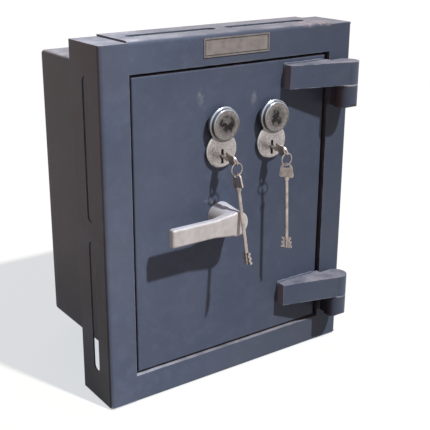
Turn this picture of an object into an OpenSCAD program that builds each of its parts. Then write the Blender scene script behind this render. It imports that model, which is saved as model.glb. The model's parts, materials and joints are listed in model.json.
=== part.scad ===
// Wall safe: a folded front frame and box body set into masonry, a heavy plate door on two
// strap hinges, two key locks that block the boltwork, and a lever handle that throws it.
// Millimetres, +Z up, +Y into the wall. Sizes are measured from the front face of the frame,
// and the whole model then moves so that the origin is the middle of the frame's underside.

/* [Front frame] */
// Width of the frame
frame_w = 330; // [322:1:350]
// Height of the frame
frame_h = 400; // [392:1:430]
// Depth of the folded returns
frame_d = 63; // [58:1:80]
// Thickness of the frame's sheet
frame_t = 2; // [2:0.5:3.5]
// Width of the face around the door
face_w = 33; // [32:0.5:36]
// Outer radius of the fold between face and returns
bend_r = 4.5; // [4:0.1:6]
// Length that the top and bottom returns stop short of each corner
corner_relief = 32; // [28:0.5:32]

/* [Anchor slots] */
// Width of every slot
slot_w = 13; // [8:0.5:16]
// Length of a slot in the side returns
side_slot_l = 154; // [120:1:160]
// Bridge between the two slots of a side return
side_slot_gap = 21; // [14:1:28]
// Length of a slot in the top and bottom returns
end_slot_l = 110; // [80:1:112]
// Bridge between the two slots of the top and bottom returns
end_slot_gap = 14; // [10:1:20]

/* [Name plate] */
// Width of the bare plate
plate_w = 86; // [60:1:110]
// Height of the bare plate
plate_h = 20; // [14:0.5:21]
// Thickness of the plate's field
plate_t = 0.6; // [0.4:0.1:1]
// Width of the plate's raised rim
plate_rim = 1; // [0.6:0.1:2]

/* [Body] */
// Depth of the whole safe, from the frame's face to the back
body_depth = 212; // [195:1:260]
// Distance of the body's walls from the frame's outside
body_inset = 34; // [33.5:0.5:36]
// Thickness of the body's walls
body_t = 3; // [2:0.5:4]
// Radius of the body's long edges
body_corner_r = 4; // [3:0.5:6]
// Radius of the pressed back's edges
back_r = 9; // [6:0.5:12]
// Depth of the pressed back
back_d = 13; // [12.5:0.5:20]

/* [Door frame] */
// Width of the ledge that the door closes against
ledge_w = 18; // [16:0.5:18]
// Thickness of the door frame's sheet
jamb_t = 3; // [2:0.5:4]
// Depth of the lock edge that the bolts shoot behind
jamb_d = 34.5; // [30:0.5:36]

/* [Door] */
// Thickness of the door plate
door_t = 10; // [8:0.5:10]
// How far the door's face lies behind the frame's face
door_recess = 2; // [1:0.25:2.5]
// Gap around the door at the top, bottom and lock side
door_gap = 3; // [2.5:0.25:4]
// Gap at the hinge side
hinge_gap = 4.5; // [4:0.25:6]
// Radius of the door's front edges
door_edge_r = 2; // [1:0.25:3]
// Thickness of the sheet of the pan and of its rear cover
pan_t = 2; // [1.5:0.25:2.5]
// Depth of the pan behind the door plate
pan_d = 67; // [66.5:0.25:68]
// Thickness of the barrier behind the door plate
barrier_d = 34; // [30:0.5:34]
// Thickness of the plate that carries the locks
lock_plate_t = 3; // [2:0.5:3.5]
// Width of the pan's rear lip
lip_w = 10; // [9:0.5:14]

/* [Hinges] */
// Distance of the hinge axis from the frame's side
hinge_in = 20.5; // [19:0.25:21]
// Distance of the hinge axis in front of the frame's face
hinge_out = 17.5; // [17:0.25:19]
// Radius of the knuckles
knuckle_r = 13; // [11:0.25:14]
// Radius of the hinge pins
pin_r = 5; // [4:0.25:6]
// Height of one knuckle
knuckle_h = 26.5; // [22:0.5:30]
// Distance of a hinge from the frame's top or bottom
hinge_end = 42; // [40:0.5:50]
// Reach of the arm from the hinge axis over the door
arm_l = 77.5; // [60:0.5:80]
// Thickness of the arm at its thin end
arm_end_t = 12; // [10:0.5:14]
// Thickness of the hinge washers
washer_t = 1; // [0.6:0.1:1.5]

/* [Handle] */
// How far the handle's axis lies beside that of the left lock
handle_shift = 0; // [-2:0.5:2]
// How far the handle's axis lies below the middle of the safe
handle_drop = 2; // [0:0.25:2.5]
// Radius of the hub at its front
hub_r = 14; // [12:0.5:16]
// Radius of the hub at the door
hub_foot_r = 16.5; // [16:0.25:18]
// Reach of the hub in front of the frame's face
hub_out = 33; // [30:0.5:36]
// Length of the lever from the axis to its end
lever_l = 84; // [70:1:90]
// Height of the lever's bar
lever_h = 20; // [16:0.5:22]
// Thickness of the lever's bar
lever_t = 9; // [7:0.5:11]
// Radius of the lever's soft edges
lever_edge_r = 2.5; // [1.5:0.25:3]
// Radius of the spindle
spindle_r = 6; // [5:0.25:6.5]
// Turn of the handle that throws the bolts, degrees
handle_turn = 60; // [60:1:60]

/* [Boltwork] */
// Radius of the locking bolts
bolt_r = 8; // [7:0.25:8.5]
// Throw of the locking bolts
bolt_throw = 24; // [20:0.5:24]
// Distance between the locking bolts
bolt_pitch = 90; // [84:1:96]
// Reach of the drawn bolts out of the pan
bolt_proud = 5.5; // [4:0.25:5.5]
// Radius of the crank pin
crank_pin_r = 4; // [3.5:0.25:4.5]
// Height of the carriage's rail
rail_h = 22; // [21:0.5:23]
// Thickness of the carriage's rail
rail_t = 5; // [4:0.5:5]

/* [Locks] */
// Gap between the carriage's nuts and the left lock
lock_room = 1.5; // [1:0.25:3]
// Distance between the two locks
lock_pitch = 69; // [65:0.5:72]
// Gap between the carriage's rail and a lock
lock_over = 12.5; // [12:0.25:16]
// Height of a keyhole plate's centre above its keyhole
plate_up = 7; // [5:0.25:8]
// Radius of the keyhole plates
base_r = 20; // [19:0.25:20.5]
// Radius of the swing covers
cover_r = 19.5; // [18:0.25:19.5]
// Radius of the raised face of a swing cover
cover_face_r = 17; // [15:0.25:17]
// Thickness of a keyhole plate
base_t = 4.5; // [3:0.25:6]
// Thickness of a swing cover
cover_t = 8; // [7:0.25:9]
// Distance of an opened cover's centre above that of its plate
cover_rise = 29; // [26:0.5:30]
// Throw of a lock's own bolt
lock_throw = 8; // [7:0.25:8.5]
// Half the width of a lock case
case_hw = 26; // [25:0.5:27]
// Number of levers in a lock
lever_count = 5; // [3:1:5]

/* [Keys] */
// Length of a key
key_l = 100; // [99:0.25:101]
// Radius of a key's shank
shank_r = 2; // [1.5:0.1:2.2]
// Width of a key's bow at its wide foot, across the shank
bow_h = 16.5; // [15.5:0.25:19]
// Length of a key's bow, along the shank
bow_l = 16.5; // [15:0.25:17]
// Radius of the round end of a key's bow
bow_end_r = 7; // [6.5:0.1:7.5]
// Thickness of a key's bow
bow_t = 1.8; // [1.5:0.1:2]
// Angle that the bow of an inserted key stands at, to the keyhole
bow_turn = 25; // [0:1:25]
// Width over both bits
bit_w = 12.5; // [12:0.25:14.5]
// Length of the bits
bit_l = 12.5; // [9:0.25:13]
// Thickness of the bits
bit_t = 2.6; // [2:0.1:2.8]
// Radius of a key ring, to the middle of its wire
ring_r = 6.9; // [6.5:0.1:8]
// Radius of a key ring's wire
wire_r = 0.65; // [0.5:0.05:0.7]
// How far an inserted key stands out in front of the frame's face
key_out = 29.5; // [29:0.25:30.5]

/* [Clearances] */
// Radial clearance of a shaft or pin that turns
run_fit = 0.05; // [0.02:0.01:0.1]
// Radial clearance of a piece that is pressed or bolted in
set_fit = 0.02; // [0.01:0.01:0.05]
// Clearance of a piece that slides
slide_fit = 0.2; // [0.15:0.05:0.3]
// Gap between other moving faces
air_gap = 0.3; // [0.25:0.05:0.4]
// Gap between the closed door and its ledge
seat_gap = 0.5; // [0.3:0.05:0.8]

/* [Hidden] */
$fn = 64;
paint = [0.29, 0.34, 0.42];
steel = [0.62, 0.63, 0.65];
bright = [0.80, 0.81, 0.83];
alloy = [0.72, 0.72, 0.73];
brass = [0.72, 0.62, 0.40];
stone = [0.60, 0.58, 0.54];

// Opening and body
mid_z = frame_h / 2;
open_hw = frame_w / 2 - face_w;
open_hh = frame_h / 2 - face_w;
strip_w = frame_w - 2 * corner_relief;
tab_root = 1;
tab_lap = 4;
plate_rim_h = 0.3;
plate_rise = 2;
body_hw = frame_w / 2 - body_inset;
body_hh = frame_h / 2 - body_inset;
in_hw = body_hw - body_t;
in_hh = body_hh - body_t;
back_y = body_depth - back_d;
body_in_r = max(0.5, body_corner_r - body_t);

// Door frame
rebate_w = 4;
door_y = door_recess;
door_back = door_y + door_t;
ledge_y = door_back + seat_gap;
ledge_back = ledge_y + jamb_t;
jamb_back = ledge_y + jamb_d;
jamb_hw = open_hw - ledge_w;
jamb_hh = open_hh - ledge_w;

// Hinges
hinge_x = frame_w / 2 - hinge_in;
hinge_y = -hinge_out;
top_knuckle = frame_h - hinge_end - 2 * knuckle_h;
low_knuckle = hinge_end;
pin_floor = 2;
web_side = 9.5;
knuckle_edge_r = 6;
arm_step = 2;
arm_blend = 0.4;

// Door
door_x0 = -open_hw + door_gap;
door_x1 = open_hw - hinge_gap;
door_hh = open_hh - door_gap;
swing_room = 19.5;
pan_side_gap = 2;
pan_x0 = -jamb_hw + swing_room;
pan_x1 = jamb_hw - pan_side_gap;
pan_hh = jamb_hh - pan_side_gap;
pan_mid = (pan_x0 + pan_x1) / 2;
pan_back = door_back + pan_d;
cover_back = pan_back + pan_t;
barrier_back = door_back + barrier_d;
plate_back = barrier_back + lock_plate_t;
lip_screw_r = 2;
lip_rows = [-1, 0, 1];

// Bolts and the bar that carries them
bolt_room = 0.5;
bolt_y = plate_back + bolt_r + bolt_room;
bolt_rows = [-bolt_pitch, 0, bolt_pitch];
bolt_mid = mid_z;
bolt_tip = pan_x0 - bolt_proud;
bolt_chamfer = 1.5;
guide_wall = 2;
guide_lip = 1.2;
guide_in = pan_t + 3;
guide_end = pan_x0 + guide_in;
bar_room = 1.5;
bar_hd = 6;
bar_w = 12;
bar_x0 = guide_end + bolt_throw + bar_room;
bar_x1 = bar_x0 + bar_w;
bar_end = 18;
stub_r = 5;
nut_t = 4.5;
nut_wall = 3;
left_lock_x = bar_x1 + nut_t + lock_room + case_hw;
right_lock_x = left_lock_x + lock_pitch;

// Handle, crank and rail
handle_x = left_lock_x + handle_shift;
handle_z = mid_z - handle_drop;
hub_back = door_y - air_gap;
hub_waist = -hub_out + lever_t + lever_edge_r + 1;
root_l = 16;
hub_chamfer = 1.5;
spindle_front = -20;
bush_r = 10;
bush_flange_r = 13;
bush_flange_t = 3;
rail_y = plate_back + 4;
rail_back = rail_y + rail_t;
crank_half = handle_turn / 2;
crank_r = bolt_throw / (2 * sin(crank_half));
crank_y = rail_back + 1;
crank_t = 7;
crank_boss_r = 11;
crank_eye_r = 8;
crank_back = crank_y + crank_t;
clip_t = 1.2;
grub_key_w = 3;
grub_key_d = 3;
crank_rest_x = handle_x + crank_r * sin(crank_half);
crank_rest_z = handle_z + crank_r * cos(crank_half);
crank_top_z = handle_z + crank_r;
crank_play = 0.4;
rail_mid = (crank_rest_z + crank_top_z) / 2 - 0.4;
rail_top = rail_mid + rail_h / 2;
stud_r = 4;
stud_head_r = 6.5;
stud_head_t = 2.4;
stud_room = 0.6;
stud_pitch = 36;
stud_x = crank_rest_x + crank_eye_r + stud_head_r + stud_room;
stud_xs = [stud_x, stud_x + stud_pitch];
rail_tail = 10;
rail_end = stud_xs[1] + bolt_throw + rail_tail;
dog_t = 8;
dog_y = plate_back + 2;
dog_d = 10;
dog_hh = 120;
dog_screw_r = 2.5;
dog_head_t = 1.5;
dog_skin = 2;
dog_screw_room = 0.5;
dog_hole_end = pan_x1 + dog_t - dog_skin;

// Locks
case_front = plate_back;
case_t = 2;
case_d = 25;
case_back = case_front + case_d;
cap_back = case_back + case_t;
case_low = 24;
case_high = 36;
lock_z = rail_top + lock_over + case_low;
case_floor = lock_z - case_low;
ear_h = 12;
ear_screw_x = 16;
foot_screw_in = 6;
foot_screw_x = case_hw - foot_screw_in;
foot_screw_z = 18;
lock_screw_r = 2;
lock_head_r = 3.6;
lock_head_t = 1.2;
journal_r = 9.7;
drum_r = bit_w / 2 - 0.5;
tail_r = 4;
key_tip = key_l - key_out;
drum_end = key_tip + 0.3;
bolt_plate_y = rail_y + 0.5;
bolt_plate_t = 5;
tongue_hw = 6;
plate_hw = 14;
shoulder_z = case_low - case_t - lock_throw - 0.5;
window_low = 8.5;
window_hw = 10.5;
window_high = window_low + lock_throw + 0.5;
plate_land = 7;
plate_top = window_high + plate_land;
stump_hw = 2;
stump_z = window_high + plate_land / 2;
lug_w = 8;
lug_gap = 1;
lug_top = case_floor - 3.5;
lever_pack_y = bolt_plate_y + bolt_plate_t + 1.5;
lever_plate_t = 1.5;
lever_step = 2.1;
lever_window_r = bit_w / 2 + 0.8;
lever_pin_r = 3;
lever_pin_x = 19;
lever_pin_z = 27;
tube_r = bit_w / 2 + 2;
tube_wall = 2.5;

// Keyhole plates and covers
base_front = door_y - base_t;
cover_y = base_front - air_gap;
cover_front = cover_y - cover_t;
base_z = lock_z + plate_up;
pivot_z = base_z + cover_rise / 2;
pivot_r = 2.5;
pivot_depth = 4;
disc_edge = 1.2;
cover_step = 3.3;
cover_rim = 1.2;
cover_dish = 0.4;
cover_hollow_r = 10.5;
cover_hollow_d = 4;
keyhole_w = bit_t + 0.6;
keyhole_h = bit_w + 3.5;
keyhole_r = shank_r + 1.2;

// Keys and rings
eye_rim = 1.4;
eye_w = 4;
eye_h = 8.4;
eye_y = eye_rim + eye_w / 2;
bow_foot_r = 1.8;
collar_r = 3;
collar_l = 3;
ring_seat = 0.5;
spare_seat = 0.8;
ring_y = -key_out + eye_y;
rim_out = sqrt(pow(bow_end_r, 2) - pow(bow_end_r - eye_y, 2));
rim_mid = (rim_out + eye_h / 2) / 2;
ring_side = rim_mid * sin(bow_turn);
ring_top_z = lock_z - rim_mid * cos(bow_turn) + rim_out - rim_mid + wire_r + ring_seat;
ring_z = ring_top_z - ring_r;
ring_low_z = ring_z - ring_r;
spare_rim = eye_rim + wire_r + spare_seat;
// The left spare key leans on the hub's front edge
lean_gap = shank_r + 0.7;
lean_drop = ring_low_z - handle_z - hub_r + hub_chamfer;
left_lean = atan((hub_out + lean_gap + ring_y) / lean_drop);
right_lean = 2;
right_yaw = 28;
// Half widths of the five steps along a bit, as shares of the whole
bit_steps = [1, 0.72, 0.9, 0.62, 0.82];

// Moves a piece from the frame's face to the part's own origin
module place() {
    translate([0, -frame_d / 2, 0]) children();
}

// Box between two opposite corners
module block(low, high) {
    translate(low) cube(high - low);
}

// Round bars along each axis
module rod_x(y, z, r, x0, x1) {
    translate([x0, y, z]) rotate([0, 90, 0]) cylinder(r = r, h = x1 - x0);
}
module rod_y(x, z, r, y0, y1) {
    translate([x, y0, z]) rotate([-90, 0, 0]) cylinder(r = r, h = y1 - y0);
}
module rod_z(x, y, r, z0, z1) {
    translate([x, y, z0]) cylinder(r = r, h = z1 - z0);
}

// Disc facing the viewer, with a chamfer round its front edge
module faced_disc(x, z, r, y0, y1, edge) {
    rod_y(x, z, r, y0 + edge, y1);
    translate([x, y0, z]) rotate([-90, 0, 0]) cylinder(r1 = r - edge, r2 = r, h = edge);
}

// Outline in the XZ plane, thickened from y0 to y1
module along_y(y0, y1) {
    translate([0, y1, 0]) rotate([90, 0, 0]) linear_extrude(y1 - y0) children();
}

// Rectangle with round corners, centred
module rounded_rect(w, h, r) {
    square([w - 2 * r, h], center = true);
    square([w, h - 2 * r], center = true);
    for (sx = [-1, 1], sy = [-1, 1]) translate([sx * (w / 2 - r), sy * (h / 2 - r)]) circle(r);
}

// Slot with round ends, centred, long side along the first axis
module slot_2d(l, w) {
    square([l - w, w], center = true);
    for (s = [-1, 1]) translate([s * (l - w) / 2, 0]) circle(d = w);
}

// Rectangular ring about the middle of the safe, given by half sizes
module ring_frame(out_hw, out_hh, in_w, in_h, y0, y1) {
    translate([0, 0, mid_z]) along_y(y0, y1) difference() {
        square([2 * out_hw, 2 * out_hh], center = true);
        square([2 * in_w, 2 * in_h], center = true);
    }
}

// Section of the folded sheet: face along the first axis, return along the second
module fold_2d() {
    translate([bend_r, 0]) square([face_w - bend_r, frame_t]);
    translate([0, bend_r]) square([frame_t, frame_d - bend_r]);
    intersection() {
        square(bend_r);
        translate([bend_r, bend_r]) difference() {
            circle(bend_r);
            circle(bend_r - frame_t);
        }
    }
}

module frame_stile() {
    translate([-frame_w / 2, 0, frame_t]) linear_extrude(frame_h - 2 * frame_t) fold_2d();
}

// Top or bottom fold, with a tab at each end that laps under it and closes the stile
module frame_rail() {
    root = frame_t - tab_root;
    translate([strip_w / 2, 0, 0]) rotate([0, -90, 0]) linear_extrude(strip_w) fold_2d();
    for (s = [0, 1]) mirror([s, 0, 0])
        block([-frame_w / 2 + root, root, frame_t], [-strip_w / 2 + tab_lap, frame_d, 2 * frame_t]);
}

module side_slots() {
    for (s = [-1, 1]) {
        translate([-frame_w / 2 - 1, frame_d / 2, mid_z + s * (side_slot_l + side_slot_gap) / 2])
            rotate([90, 0, 90]) linear_extrude(frame_t + 2) rotate(90) slot_2d(side_slot_l, slot_w);
    }
}

module end_slots() {
    for (s = [-1, 1]) {
        translate([s * (end_slot_l + end_slot_gap) / 2, frame_d / 2, -1])
            linear_extrude(frame_t + 2) slot_2d(end_slot_l, slot_w);
    }
}

module front_frame() {
    place() color(paint) difference() {
        union() {
            for (s = [0, 1]) mirror([s, 0, 0]) frame_stile();
            frame_rail();
            translate([0, 0, frame_h]) mirror([0, 0, 1]) frame_rail();
        }
        for (s = [0, 1]) mirror([s, 0, 0]) side_slots();
        end_slots();
        translate([0, 0, frame_h]) mirror([0, 0, 1]) end_slots();
    }
}

module body_wrap() {
    place() color(paint) translate([0, 0, mid_z]) along_y(ledge_back, back_y) difference() {
        rounded_rect(2 * body_hw, 2 * body_hh, body_corner_r);
        rounded_rect(2 * in_hw, 2 * in_hh, body_in_r);
    }
}

// Rounded tray, open towards the front: slices that follow the edge's quarter circle
module tray(hw, hh, y0, y1, r) {
    hull() for (a = [-15:15:90]) {
        inset = a < 0 ? 0 : r * (1 - cos(a));
        y = a < 0 ? y0 : y1 - r + r * sin(a);
        translate([0, y, mid_z]) rotate([90, 0, 0]) linear_extrude(0.01)
            rounded_rect(2 * (hw - inset), 2 * (hh - inset), body_corner_r, $fn = 32);
    }
}

module back_plate() {
    place() color(paint) difference() {
        tray(body_hw, body_hh, back_y + 0.01, body_depth, back_r);
        tray(in_hw, in_hh, back_y - 1, body_depth - body_t, back_r - body_t);
    }
}

module door_frame() {
    place() color(paint) {
        ring_frame(open_hw + rebate_w, open_hh + rebate_w, open_hw, open_hh, frame_t, ledge_y);
        ring_frame(open_hw + rebate_w, open_hh + rebate_w, jamb_hw, jamb_hh, ledge_y, ledge_back);
        ring_frame(jamb_hw + jamb_t, jamb_hh + jamb_t, jamb_hw, jamb_hh, ledge_back, jamb_back);
        translate([0, 0, mid_z]) along_y(jamb_back - jamb_t, jamb_back) difference() {
            rounded_rect(2 * in_hw, 2 * in_hh, body_in_r);
            square([2 * jamb_hw, 2 * jamb_hh], center = true);
        }
    }
}

// Knuckle welded to the frame's face, with its lower front edge rounded
module frame_knuckle(z0) {
    z1 = z0 + knuckle_h - washer_t;
    front = hinge_y - knuckle_r;
    place() color(paint) difference() {
        union() {
            rod_z(hinge_x, hinge_y, knuckle_r, z0, z1);
            block([hinge_x - web_side, hinge_y, z0], [hinge_x + knuckle_r, 0, z1]);
        }
        rod_z(hinge_x, hinge_y, pin_r + set_fit, z0 + pin_floor, z1 + 1);
        difference() {
            block([hinge_x - 2 * knuckle_r, front - 1, z0 - 1],
                [hinge_x + 2 * knuckle_r, front + knuckle_edge_r, z0 + knuckle_edge_r]);
            rod_x(front + knuckle_edge_r, z0 + knuckle_edge_r, knuckle_edge_r,
                hinge_x - 3 * knuckle_r, hinge_x + 3 * knuckle_r);
        }
    }
}
module upper_hinge_knuckle() {
    frame_knuckle(top_knuckle);
}
module lower_hinge_knuckle() {
    frame_knuckle(low_knuckle);
}

module hinge_pins() {
    place() color(steel) for (z = [top_knuckle, low_knuckle])
        rod_z(hinge_x, hinge_y, pin_r, z + pin_floor, z + 2 * knuckle_h - 2 * pin_floor);
}

module hinge_washers() {
    place() color(brass) for (z = [top_knuckle, low_knuckle]) difference() {
        rod_z(hinge_x, hinge_y, knuckle_r - 1, z + knuckle_h - washer_t, z + knuckle_h);
        rod_z(hinge_x, hinge_y, pin_r + set_fit, z, z + 2 * knuckle_h);
    }
}

module name_plate() {
    z = frame_h - face_w / 2 + plate_rise;
    place() color(brass) translate([0, 0, z]) {
        along_y(-plate_t, 0) square([plate_w, plate_h], center = true);
        along_y(-plate_t - plate_rim_h, -plate_t) difference() {
            square([plate_w, plate_h], center = true);
            square([plate_w - 2 * plate_rim, plate_h - 2 * plate_rim], center = true);
        }
    }
}

// Waste to cut from the door's front edges, leaving them round
module edge_waste(l) {
    translate([-l / 2, 0, 0]) rotate([90, 0, 90]) linear_extrude(l) difference() {
        translate([-1, -1]) square(door_edge_r + 1);
        translate([door_edge_r, door_edge_r]) circle(door_edge_r);
    }
}

module door_plate() {
    mid = (door_x0 + door_x1) / 2;
    long = 2 * frame_h;
    place() color(paint) difference() {
        block([door_x0, door_y, mid_z - door_hh], [door_x1, door_back, mid_z + door_hh]);
        for (s = [0, 1]) translate([mid, door_y, mid_z]) mirror([0, 0, s])
            translate([0, 0, -door_hh]) edge_waste(long);
        for (s = [0, 1]) translate([mid, door_y, mid_z]) mirror([s, 0, 0])
            translate([(door_x0 - door_x1) / 2, 0, 0]) rotate([0, 90, 0]) edge_waste(long);
        rod_y(handle_x, handle_z, bush_r + set_fit, door_y - 1, door_back + 1);
        for (x = [left_lock_x, right_lock_x]) {
            rod_y(x, lock_z, tube_r, door_y - 1, door_back + 1);
            rod_y(x, pivot_z, pivot_r + set_fit, door_y - 1, door_y + pivot_depth);
        }
    }
}

// Arm welded on the door: a wedge in plan whose faces run into its knuckle
module hinge_arm(z0) {
    end_x = hinge_x - arm_l;
    end_y = door_y - arm_end_t;
    touch_r = knuckle_r - arm_blend;
    reach = sqrt(pow(arm_l, 2) + pow(end_y - hinge_y, 2));
    slope = atan2(end_y - hinge_y, arm_l) + asin(touch_r / reach);
    step_x = open_hw - arm_step;
    back_face = hinge_y + touch_r;
    place() color(paint) translate([0, 0, z0 + air_gap]) difference() {
        union() {
            linear_extrude(knuckle_h - air_gap)
                polygon([[end_x, door_y], [step_x, door_y], [step_x, back_face],
                    [hinge_x, back_face], [hinge_x, hinge_y],
                    [hinge_x - touch_r * sin(slope), hinge_y - touch_r * cos(slope)],
                    [end_x, end_y]]);
            rod_z(hinge_x, hinge_y, knuckle_r, 0, knuckle_h - air_gap);
        }
        rod_z(hinge_x, hinge_y, pin_r + run_fit, -1, knuckle_h - air_gap - pin_floor);
    }
}
module upper_hinge_arm() {
    hinge_arm(top_knuckle + knuckle_h);
}
module lower_hinge_arm() {
    hinge_arm(low_knuckle + knuckle_h);
}

// Rectangle of the pan in the XZ plane, drawn in by a margin
module pan_2d(inset) {
    translate([pan_mid, mid_z])
        square([pan_x1 - pan_x0 - 2 * inset, 2 * (pan_hh - inset)], center = true);
}

// Places of the screws that hold the rear cover to the lip
module lip_screw_places() {
    for (sx = [-1, 1], row = lip_rows)
        translate([pan_mid + sx * ((pan_x1 - pan_x0) / 2 - pan_t - lip_w / 2), 0,
            mid_z + row * (pan_hh - pan_t - lip_w / 2)]) children();
}

module door_pan() {
    place() color(paint) difference() {
        union() {
            along_y(door_back, pan_back) difference() {
                pan_2d(0);
                pan_2d(pan_t);
            }
            along_y(pan_back - pan_t, pan_back) difference() {
                pan_2d(pan_t);
                pan_2d(pan_t + lip_w);
            }
        }
        for (row = bolt_rows)
            rod_x(bolt_y, bolt_mid + row, bolt_r + guide_wall + set_fit,
                pan_x0 - 1, pan_x0 + pan_t + 1);
        for (row = bolt_rows)
            rod_x(dog_y + dog_d / 2, mid_z + row, dog_screw_r + set_fit,
                pan_x1 - pan_t - 1, pan_x1 + 1);
        lip_screw_places() rod_y(0, 0, lip_screw_r + set_fit, pan_back - 2 * pan_t, pan_back + 1);
    }
}

// Room for the bolts' guides where they stand into the barrier and the lock plate
module guide_room() {
    for (row = bolt_rows)
        rod_x(bolt_y, bolt_mid + row, bolt_r + guide_wall + guide_lip + slide_fit,
            pan_x0, guide_end + air_gap);
}

module barrier_fill() {
    place() color(stone) difference() {
        along_y(door_back, barrier_back) pan_2d(pan_t);
        rod_y(handle_x, handle_z, bush_r + set_fit, door_back - 1, barrier_back + 1);
        for (x = [left_lock_x, right_lock_x])
            rod_y(x, lock_z, tube_r + tube_wall + set_fit, door_back - 1, barrier_back + 1);
        guide_room();
    }
}

// Places of a lock's four screws, two in the ear and two through the cap
module ear_screw_places() {
    for (x = [left_lock_x, right_lock_x], s = [-1, 1])
        translate([x + s * ear_screw_x, 0, lock_z + case_high + ear_h / 2]) children();
}
module foot_screw_places() {
    for (x = [left_lock_x, right_lock_x], s = [-1, 1])
        translate([x + s * foot_screw_x, 0, lock_z - foot_screw_z]) children();
}

module lock_plate() {
    place() color(steel) difference() {
        along_y(barrier_back, plate_back) pan_2d(pan_t);
        rod_y(handle_x, handle_z, bush_r + set_fit, barrier_back - 1, plate_back + 1);
        for (x = [left_lock_x, right_lock_x])
            rod_y(x, lock_z, tube_r, barrier_back - 1, plate_back + 1);
        ear_screw_places() rod_y(0, 0, lock_screw_r + set_fit, barrier_back - 1, plate_back + 1);
        foot_screw_places() rod_y(0, 0, lock_screw_r + set_fit, barrier_back - 1, plate_back + 1);
        for (x = stud_xs)
            rod_y(x, rail_mid, stud_r - 1 + set_fit, barrier_back - 1, plate_back + 1);
        guide_room();
    }
}

module boltwork_cover() {
    place() color(paint) difference() {
        along_y(pan_back, cover_back) pan_2d(0);
        lip_screw_places() rod_y(0, 0, lip_screw_r + set_fit, pan_back - 1, cover_back + 1);
    }
}

module cover_screws() {
    place() color(steel) lip_screw_places() {
        rod_y(0, 0, lip_screw_r, pan_back - pan_t, cover_back);
        rod_y(0, 0, 2 * lip_screw_r, cover_back, cover_back + 1);
        translate([0, cover_back + 1, 0]) rotate([-90, 0, 0])
            cylinder(r1 = 2 * lip_screw_r, r2 = lip_screw_r, h = 1);
    }
}

module hinge_dog_bar() {
    place() color(steel) difference() {
        block([pan_x1, dog_y, mid_z - dog_hh], [pan_x1 + dog_t, dog_y + dog_d, mid_z + dog_hh]);
        for (row = bolt_rows)
            rod_x(dog_y + dog_d / 2, mid_z + row, dog_screw_r + set_fit,
                pan_x1 - 1, dog_hole_end);
    }
}

module dog_bar_screws() {
    place() color(steel) for (row = bolt_rows) {
        z = mid_z + row;
        rod_x(dog_y + dog_d / 2, z, dog_screw_r, pan_x1 - pan_t, dog_hole_end - dog_screw_room);
        rod_x(dog_y + dog_d / 2, z, 2 * dog_screw_r, pan_x1 - pan_t - dog_head_t, pan_x1 - pan_t);
    }
}

// Keyhole outline, from y0 to y1
module keyhole(x, y0, y1) {
    rod_y(x, lock_z, keyhole_r, y0, y1);
    block([x - keyhole_w / 2, y0, lock_z - keyhole_h / 2],
        [x + keyhole_w / 2, y1, lock_z + keyhole_h / 2]);
}

module escutcheon(x) {
    place() color(bright) difference() {
        faced_disc(x, base_z, base_r, base_front, door_y, disc_edge);
        keyhole(x, base_front - 1, door_y + 1);
        rod_y(x, pivot_z, pivot_r + set_fit, base_front - 1, door_y + 1);
    }
}
module left_escutcheon() {
    escutcheon(left_lock_x);
}
module right_escutcheon() {
    escutcheon(right_lock_x);
}

module cover_pivots() {
    place() color(steel) for (x = [left_lock_x, right_lock_x])
        rod_y(x, pivot_z, pivot_r, cover_y - pivot_depth, door_y + pivot_depth);
}

module handle_bush() {
    place() color(brass) difference() {
        union() {
            rod_y(handle_x, handle_z, bush_r, door_y, plate_back);
            rod_y(handle_x, handle_z, bush_flange_r, plate_back, plate_back + bush_flange_t);
        }
        rod_y(handle_x, handle_z, spindle_r + run_fit, door_y - 1, plate_back + bush_flange_t + 1);
    }
}

module bolt_guides() {
    place() color(brass) for (row = bolt_rows) {
        z = bolt_mid + row;
        difference() {
            union() {
                rod_x(bolt_y, z, bolt_r + guide_wall, pan_x0, guide_end);
                rod_x(bolt_y, z, bolt_r + guide_wall + guide_lip, pan_x0 + pan_t, guide_end);
            }
            rod_x(bolt_y, z, bolt_r + run_fit, pan_x0 - 1, guide_end + 1);
        }
    }
}

module carriage_studs() {
    place() color(steel) for (x = stud_xs) {
        rod_y(x, rail_mid, stud_r - 1, barrier_back, plate_back);
        rod_y(x, rail_mid, stud_r, plate_back, rail_back + air_gap);
        rod_y(x, rail_mid, stud_head_r, rail_back + air_gap, rail_back + air_gap + stud_head_t);
    }
}

module key_tubes() {
    place() color(steel) for (x = [left_lock_x, right_lock_x]) difference() {
        rod_y(x, lock_z, tube_r + tube_wall, door_back, barrier_back);
        rod_y(x, lock_z, tube_r, door_back - 1, barrier_back + 1);
    }
}

// Lock case: tray open to the rear, with an ear at the top and a slot for the lock's bolt
module lock_case(x) {
    z0 = case_floor;
    z1 = lock_z + case_high;
    bolt_back = bolt_plate_y + bolt_plate_t;
    place() color(steel) difference() {
        union() {
            block([x - case_hw, case_front, z0], [x + case_hw, case_back, z1]);
            block([x - case_hw, case_front, z1], [x + case_hw, case_front + case_t, z1 + ear_h]);
        }
        block([x - case_hw + case_t, case_front + case_t, z0 + case_t],
            [x + case_hw - case_t, case_back + 1, z1 - case_t]);
        block([x - tongue_hw - slide_fit, bolt_plate_y - slide_fit, z0 - 1],
            [x + tongue_hw + slide_fit, bolt_back + slide_fit, z0 + case_t + 1]);
        rod_y(x, lock_z, journal_r + run_fit, case_front - 1, case_front + case_t + 1);
        rod_y(x - lever_pin_x, lock_z + lever_pin_z, lever_pin_r + set_fit,
            case_front, case_front + case_t + 1);
        ear_screw_places() rod_y(0, 0, lock_screw_r + set_fit, case_front - 1, case_back);
        foot_screw_places() rod_y(0, 0, lock_screw_r + set_fit, case_front - 1, case_back);
    }
}
module left_lock_case() {
    lock_case(left_lock_x);
}
module right_lock_case() {
    lock_case(right_lock_x);
}

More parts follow.
